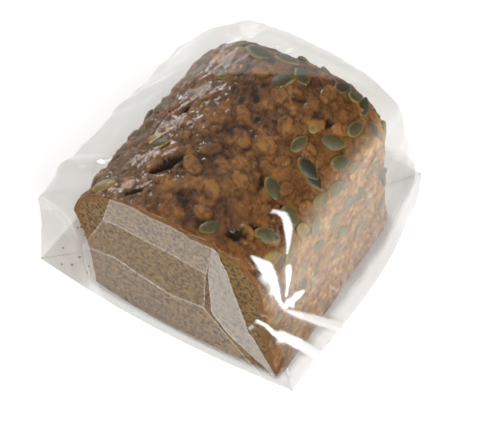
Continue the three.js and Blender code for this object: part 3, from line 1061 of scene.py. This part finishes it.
def scatter_tree():
    """Geometry nodes that set one shape on every point, turned to the point's own facing"""
    if "Scatter" in bpy.data.node_groups:
        return bpy.data.node_groups["Scatter"]
    tree = bpy.data.node_groups.new("Scatter", "GeometryNodeTree")
    tree.is_modifier = True
    for label, kind in (
        ("Points", "NodeSocketGeometry"),
        ("Shape", "NodeSocketObject"),
        ("Lean", "NodeSocketFloat"),
        ("Draw", "NodeSocketInt"),
        ("Finish", "NodeSocketMaterial"),
    ):
        tree.interface.new_socket(name=label, in_out="INPUT", socket_type=kind)
    tree.interface.new_socket(name="Pieces", in_out="OUTPUT", socket_type="NodeSocketGeometry")
    w = Wiring(tree)
    start, end = w.add("NodeGroupInput"), w.add("NodeGroupOutput")

    def carried(name, kind):
        made = w.add("GeometryNodeInputNamedAttribute", {"data_type": kind}, Name=name)
        return next(s for s in made.outputs if s.enabled and s.name == "Attribute")

    shape = w.add("GeometryNodeObjectInfo", {"transform_space": "ORIGINAL"}, Object=start.outputs["Shape"])
    outward = carried("facing", "FLOAT_VECTOR")
    facing = w.add("FunctionNodeAlignRotationToVector", {"axis": "Z"}, Vector=outward)
    spin = w.add("FunctionNodeAxisAngleToRotation", Axis=(0, 0, 1), Angle=carried("turn", "FLOAT"))
    least = w.maths("MULTIPLY", start.outputs["Lean"], -1.0)
    lean = w.add("FunctionNodeRandomValue", {"data_type": "FLOAT"}, Min=least, Max=start.outputs["Lean"])
    w.feed(lean, "Seed", start.outputs["Draw"])
    lean_angle = next(s for s in lean.outputs if s.enabled)
    tip = w.add("FunctionNodeAxisAngleToRotation", Axis=(0, 1, 0), Angle=lean_angle)
    turned = w.add("FunctionNodeRotateRotation", {"rotation_space": "LOCAL"}, Rotation=facing.outputs[0])
    w.feed(turned, "Rotate By", spin.outputs[0])
    leaned = w.add("FunctionNodeRotateRotation", {"rotation_space": "LOCAL"}, Rotation=turned.outputs[0])
    w.feed(leaned, "Rotate By", tip.outputs[0])
    placed = w.add(
        "GeometryNodeInstanceOnPoints",
        Points=start.outputs["Points"],
        Instance=shape.outputs["Geometry"],
        Rotation=leaned.outputs[0],
        Scale=carried("size", "FLOAT"),
    )
    whole = w.add("GeometryNodeRealizeInstances", Geometry=placed.outputs["Instances"])
    dressed = w.add("GeometryNodeSetMaterial", Geometry=whole.outputs["Geometry"])
    w.feed(dressed, "Material", start.outputs["Finish"])
    w.feed(end, "Pieces", dressed.outputs["Geometry"])
    return tree


def scatter(name, shape_points, shape_faces, shape_attributes, places, finish, lean, draw):
    """One piece with the shape set on every place"""
    shape = add_piece(name + "_shape", shape_points - ORIGIN, shape_faces, None, shape_attributes)
    carrier = add_piece(name + "_places", places.pop("at"), [], None, places)
    tree = scatter_tree()
    modifier = carrier.modifiers.new("Scatter", "NODES")
    modifier.node_group = tree
    values = {"Shape": shape, "Lean": lean, "Draw": draw, "Finish": finish}
    for label, value in values.items():
        modifier[tree.interface.items_tree[label].identifier] = value
    graph = bpy.context.evaluated_depsgraph_get()
    mesh = bpy.data.meshes.new_from_object(carrier.evaluated_get(graph))
    mesh.name = name
    bpy.data.objects.remove(carrier)
    bpy.data.objects.remove(shape)
    piece = bpy.data.objects.new(name, mesh)
    bpy.context.scene.collection.objects.link(piece)
    return piece


def read_field(mesh, label, width):
    """Values of one of the mesh's attributes, one row a point"""
    values = np.zeros(len(mesh.vertices) * width, np.float32)
    key = {1: "value", 3: "vector"}[width]
    mesh.attributes[label].data.foreach_get(key, values)
    return values.reshape(-1, width).astype(float) if width > 1 else values.astype(float)


def seed_places(loaf, sizes):
    """Where the seeds lie: the chosen ones on the crown, and drawn ones all over the sides"""
    random = np.random.default_rng(sizes.draw)
    mesh = loaf.data
    points = np.zeros(len(mesh.vertices) * 3, np.float32)
    mesh.vertices.foreach_get("co", points)
    points = points.reshape(-1, 3).astype(float) / MM - ORIGIN
    facing = read_field(mesh, "facing", 3)
    cut, top = read_field(mesh, "cut", 1), read_field(mesh, "top", 1)
    chosen, turns, tones, scales = [], [], [], []
    for spot, turn, tone, scale in CROWN_SEEDS + RIGHT_SEEDS:
        chosen.append(nearest_to(points, spot))
        turns.append(math.radians(turn))
        tones.append(tone)
        scales.append(scale)
    sides = (np.abs(facing[:, 2]) < 0.75) & (cut < 0.1) & (points[:, 1] > 9) & (points[:, 2] > 5)
    unseen = (points[:, 0] < 40) | (points[:, 1] > 100)
    weights = sides * unseen * (1.02 - np.clip(top, 0, 1))
    placed = len(chosen)
    for i in spaced_draw(random, points, weights, sizes.spacing / MM, SEED_TRIES):
        if np.linalg.norm(points[chosen[:placed]] - points[i], axis=1).min() < sizes.spacing / MM:
            continue
        chosen.append(i)
        turns.append(random.uniform(0, 2 * math.pi))
        tones.append(random.beta(2.2, 2.2) * 0.95)
        scales.append(random.uniform(0.8, 1.12))
    return {
        "at": points[chosen] - facing[chosen] * sizes.sink / MM,
        "facing": facing[chosen],
        "turn": np.array(turns),
        "tone": np.array(tones),
        "size": np.array(scales),
    }


def crumb_places(sizes):
    """Where the loose crumbs lie on the bag's base, round the loaf"""
    random = np.random.default_rng(sizes.draw + 1)
    spots = []
    while len(spots) < sizes.crumbs:
        x, y = random.uniform(-84, 62), random.uniform(-3, 132)
        beside = x < -58 or x > 56 or y > 119
        inside = left_foot(y) + 4 < x < right_foot(y) - 4
        if beside and inside and random.random() < (1.0 if x < -58 else 0.5):
            spots.append((x, y, 0.9))
    return {
        "at": np.array(spots),
        "facing": unit(random.normal(size=(len(spots), 3))),
        "turn": random.uniform(0, 6, len(spots)),
        "size": sizes.crumb / MM * random.uniform(0.25, 0.8, len(spots)),
    }


# Folded layers on the front face: lines of (x, z) for each sheet's two long edges, and its milkiness
FOLDED_LAYERS = [
    ([(-26, 103.5), (2, 105), (29, 104)], [(-33, 82), (5, 82), (24, 80)], 0.04),
    (
        [(-33.3, 81.4), (5, 81.4), (23.6, 79.4)],
        [(-51, 45), (-31, 50.6), (-21, 48.1), (1, 43.3), (20, 47)],
        0.0,
    ),
    ([(-52, 44), (-31, 50), (-21, 47.5), (1, 42.7), (20, 46.4)], [(-53, 1.2), (-10, 1.2), (50, 1.2)], 0.02),
    (
        [(29, 104), (25, 80), (24, 46), (32, 32), (55, 10.5)],
        [(32.5, 104.5), (37, 93), (39, 78), (43.5, 50), (56.5, 12)],
        0.1,
    ),
]

# Painted highlights along the edge lines of the folded layers: their added milkiness, and their share across
# a sheet and of a column at its ends
PAINTED_EDGE_HIGHLIGHT = 0.2
EDGE_SHARE = 0.016
END_SHARE = 0.16


def folded_sheet(film_tree, first, second, milk, sizes):
    """Points, milkiness and painted edge highlights of one folded layer, a thin closed sheet that follows
    the film's front
    """
    columns, rows = 44, 26
    a = resampled(np.array(first, float), columns)
    b = resampled(np.array(second, float), columns)
    share = np.concatenate(((0,), np.linspace(EDGE_SHARE, 1 - EDGE_SHARE, rows - 2), (1,)))[:, None, None]
    flat = a * (1 - share) + b * share
    flat[:, 1] = flat[:, 0] + (flat[:, 2] - flat[:, 0]) * END_SHARE
    flat[:, -2] = flat[:, -1] + (flat[:, -3] - flat[:, -1]) * END_SHARE
    out = sizes.layer / MM
    sheet = np.zeros((rows, columns, 3))
    for r in range(rows):
        for k in range(columns):
            x, z = flat[r, k]
            start = Vector(in_frame((x, -40, z)))
            hit = film_tree.ray_cast(start, Vector((0, 1, 0)))[0]
            y = FACE_TOP_Y if hit is None else hit.y / MM - ORIGIN[1]
            sheet[r, k] = (x, y - out, z)
    sheet[..., 1] -= 0.3 * crumple(sheet, 17, columns)
    milk_and_painted_light = np.full((rows, columns), milk)
    # Painted highlights: the sheet's edges are whitened where they would catch the light
    milk_and_painted_light[[0, -1]] += PAINTED_EDGE_HIGHLIGHT
    milk_and_painted_light[:, [0, -1]] += PAINTED_EDGE_HIGHLIGHT
    thick = sizes.sheet / MM
    points = np.concatenate((sheet.reshape(-1, 3), sheet.reshape(-1, 3) + (0, thick, 0)))
    count = rows * columns
    faces = np.array(grid_faces(rows, columns))
    index = np.arange(count).reshape(rows, columns)
    edge = np.concatenate((index[0, :-1], index[:-1, -1], index[-1, :0:-1], index[:0:-1, 0]))
    after = np.roll(edge, -1)
    rim = np.stack((edge, edge + count, after + count, after), 1)
    whole = np.concatenate((faces, faces[:, ::-1] + count, rim))
    return points, whole, np.tile(milk_and_painted_light.reshape(-1), 2)


class BreadPiece:
    """What the operators share"""

    bl_options = {"REGISTER", "UNDO"}

    @staticmethod
    def ride(piece, slot=None):
        """Fixes a finished piece to the part's only body"""
        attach(piece, BODY)


class BREAD_OT_loaf(BreadPiece, bpy.types.Operator):
    """Makes the cut loaf with its lumpy crust and porous cut face"""

    bl_idname = "bread.loaf"
    bl_label = "Loaf"

    def execute(self, context):
        points, faces, attributes = make_loaf(context.scene.bread_loaf, context.scene.bread_seeds.draw)
        loaf = add_piece("loaf", points, faces, loaf_finish(context.scene.bread_colours), attributes)
        self.ride(loaf)
        return {"FINISHED"}


class BREAD_OT_seeds(BreadPiece, bpy.types.Operator):
    """Sets the pumpkin seeds on the crown and sides of the loaf"""

    bl_idname = "bread.seeds"
    bl_label = "Pumpkin seeds"

    def execute(self, context):
        sizes = context.scene.bread_seeds
        points, faces, rims = seed_shape(sizes)
        places = seed_places(bpy.data.objects["loaf"], sizes)
        finish = seed_finish(context.scene.bread_colours)
        values = {"seed_rim": rims}
        seeds = scatter("pumpkin_seeds", points, faces, values, places, finish, sizes.tilt, sizes.draw)
        self.ride(seeds)
        return {"FINISHED"}


class BREAD_OT_crumbs(BreadPiece, bpy.types.Operator):
    """Sets the loose crumbs on the bag's base"""

    bl_idname = "bread.crumbs"
    bl_label = "Loose crumbs"

    def execute(self, context):
        sizes = context.scene.bread_seeds
        points, faces = crumb_shape(np.random.default_rng(sizes.draw))
        places = crumb_places(sizes)
        finish = crumb_finish(context.scene.bread_colours)
        crumbs = scatter("crumbs", points, faces, {}, places, finish, 0.0, sizes.draw)
        self.ride(crumbs)
        return {"FINISHED"}


class BREAD_OT_film(BreadPiece, bpy.types.Operator):
    """Makes the film bag round the loaf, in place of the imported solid"""

    bl_idname = "bread.film"
    bl_label = "Film bag"

    def execute(self, context):
        points, faces, attributes = make_film(context.scene.bread_film)
        finish = film_finish("clear_film", context.scene.bread_colours.film, 1.0)
        film = add_piece("film_bag", points, faces, finish, attributes)
        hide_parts("bread_bag")
        self.ride(film, "bag_film")
        return {"FINISHED"}


class BREAD_OT_folds(BreadPiece, bpy.types.Operator):
    """Lays the folded layers of film on the front of the bag"""

    bl_idname = "bread.folds"
    bl_label = "Folded film"

    def execute(self, context):
        sizes = context.scene.bread_film
        film = bpy.data.objects["film_bag"]
        tree = BVHTree.FromObject(film, context.evaluated_depsgraph_get())
        points, faces, milk_and_painted_light = [], [], []
        for first, second, milk in FOLDED_LAYERS:
            more_points, more_faces, more_haze = folded_sheet(tree, first, second, milk, sizes)
            faces += (more_faces + sum(map(len, points))).tolist()
            points.append(more_points)
            milk_and_painted_light.append(more_haze)
        finish = film_finish("folded_film", (1, 1, 1), 0.2)
        milk_and_painted_light = np.concatenate(milk_and_painted_light)
        values = {"milk_and_painted_light": milk_and_painted_light, "cling": np.zeros(len(milk_and_painted_light))}
        folds = add_piece("folded_film", np.concatenate(points), faces, finish, values)
        self.ride(folds, "bag_film")
        return {"FINISHED"}


# Camera, as it stood for the photograph, in the loaf's millimetres and in degrees
CAMERA_TARGET = (10.998, 50.0, 47.861)
CAMERA_DISTANCE = 850
CAMERA_AZIMUTH = 39.051
CAMERA_ELEVATION = 57.188
CAMERA_ROLL = 7.407
CAMERA_FOCAL_PIXELS = 1746.695
PICTURE_WIDTH = 500
SENSOR_WIDTH = 36

# Light that the table gives off, so that it stays white at its far edge
FLOOR_GLOW = 0.17

# Table, out to its reach on each side and just under the bag, in millimetres, and the light from all round
TABLE_REACH = 6000
TABLE_HEIGHT = -0.4
WORLD_STRENGTH = 0.15

# Softboxes: name, direction from the bag, distance, width, height, power
SOFTBOXES = [
    ("right_softbox", (0.8, -0.3, 0.55), 1.2, 0.5, 0.5, 12),
    ("left_softbox", (-0.78, 0.5, 0.36), 1.3, 0.45, 0.45, 13),
    ("rear_softbox", (-0.35, 0.82, 0.45), 1.4, 0.9, 0.4, 1.5),
    ("top_softbox", (0.55, -0.15, 0.82), 1.5, 0.8, 0.8, 10),
    ("front_softbox", (-0.35, -0.8, 0.5), 1.6, 1.0, 0.7, 13),
]


class BREAD_OT_stage(BreadPiece, bpy.types.Operator):
    """Sets up the pale table, the softboxes and the camera"""

    bl_idname = "bread.stage"
    bl_label = "Stage"

    def execute(self, context):
        scene = context.scene
        floor_finish, w, end = new_material("pale_table")
        shader = w.add("ShaderNodeBsdfPrincipled", Base_Color=scene.bread_colours.floor, Roughness=0.7)
        w.feed(shader, "Emission Color", scene.bread_colours.floor)
        w.feed(shader, "Emission Strength", FLOOR_GLOW)
        w.feed(end, "Surface", shader.outputs["BSDF"])
        square = np.array(((-1, -1), (1, -1), (1, 1), (-1, 1))) * TABLE_REACH
        corners = np.insert(square.astype(float), 2, TABLE_HEIGHT, axis=1)
        floor = add_piece("table", corners, [(0, 1, 2, 3)], floor_finish)

        world = bpy.data.worlds.new("studio")
        world.use_nodes = True
        world.node_tree.nodes["Background"].inputs["Color"].default_value = (1, 1, 1, 1)
        world.node_tree.nodes["Background"].inputs["Strength"].default_value = WORLD_STRENGTH
        scene.world = world
        middle = Vector(in_frame(CAMERA_TARGET))
        for name, direction, distance, width, height, power in SOFTBOXES:
            lamp = bpy.data.lights.new(name, "AREA")
            lamp.shape = "RECTANGLE"
            lamp.size, lamp.size_y, lamp.energy = width, height, power
            softbox = bpy.data.objects.new(name, lamp)
            toward = Vector(direction).normalized()
            softbox.location = middle + toward * distance
            softbox.rotation_euler = toward.to_track_quat("Z", "Y").to_euler()
            scene.collection.objects.link(softbox)

        azimuth, elevation = math.radians(CAMERA_AZIMUTH), math.radians(CAMERA_ELEVATION)
        flat = math.cos(elevation)
        back = Vector((math.sin(azimuth) * flat, -math.cos(azimuth) * flat, math.sin(elevation)))
        right = Vector((math.cos(azimuth), math.sin(azimuth), 0))
        axes = Matrix((right, back.cross(right), back)).transposed().to_4x4()
        camera = bpy.data.objects.new("camera", bpy.data.cameras.new("camera"))
        camera.data.sensor_fit = "HORIZONTAL"
        camera.data.sensor_width = SENSOR_WIDTH
        camera.data.lens = CAMERA_FOCAL_PIXELS * SENSOR_WIDTH / PICTURE_WIDTH
        roll = Matrix.Rotation(math.radians(-CAMERA_ROLL), 4, "Z")
        camera.matrix_world = Matrix.Translation(middle + back * CAMERA_DISTANCE * MM) @ axes @ roll
        scene.collection.objects.link(camera)
        scene.camera = camera
        scene.view_settings.view_transform = "Standard"
        return {"FINISHED"}


class BREAD_PT_panel(bpy.types.Panel):
    """Lists the bag's pieces"""

    bl_idname = "BREAD_PT_panel"
    bl_label = "Seeded loaf in a bag"
    bl_space_type = "VIEW_3D"
    bl_region_type = "UI"
    bl_category = "Bread"

    def draw(self, context):
        for operator in OPERATORS:
            self.layout.operator(operator.bl_idname)
        for group in GROUPS:
            owner = getattr(context.scene, group)
            box = self.layout.box()
            for name in owner.__annotations__:
                box.prop(owner, name)


OPERATORS = (BREAD_OT_loaf, BREAD_OT_seeds, BREAD_OT_crumbs, BREAD_OT_film, BREAD_OT_folds, BREAD_OT_stage)
GROUPS = {
    "bread_loaf": BreadLoafSizes,
    "bread_seeds": BreadSeedSizes,
    "bread_film": BreadFilmSizes,
    "bread_colours": BreadColours,
}


def register():
    """Makes the groups, operators and panel known"""
    for name, group in GROUPS.items():
        bpy.utils.register_class(group)
        setattr(bpy.types.Scene, name, bpy.props.PointerProperty(type=group))
    for operator in OPERATORS:
        bpy.utils.register_class(operator)
    bpy.utils.register_class(BREAD_PT_panel)


def unregister():
    """Takes them away again"""
    bpy.utils.unregister_class(BREAD_PT_panel)
    for operator in reversed(OPERATORS):
        bpy.utils.unregister_class(operator)
    for name, group in GROUPS.items():
        delattr(bpy.types.Scene, name)
        bpy.utils.unregister_class(group)


def main():
    """Builds everything in order"""
    register()
    bpy.ops.bread.loaf()
    bpy.ops.bread.seeds()
    bpy.ops.bread.crumbs()
    bpy.ops.bread.film()
    bpy.ops.bread.folds()
    bpy.ops.bread.stage()


if __name__ == "__main__":
    main()
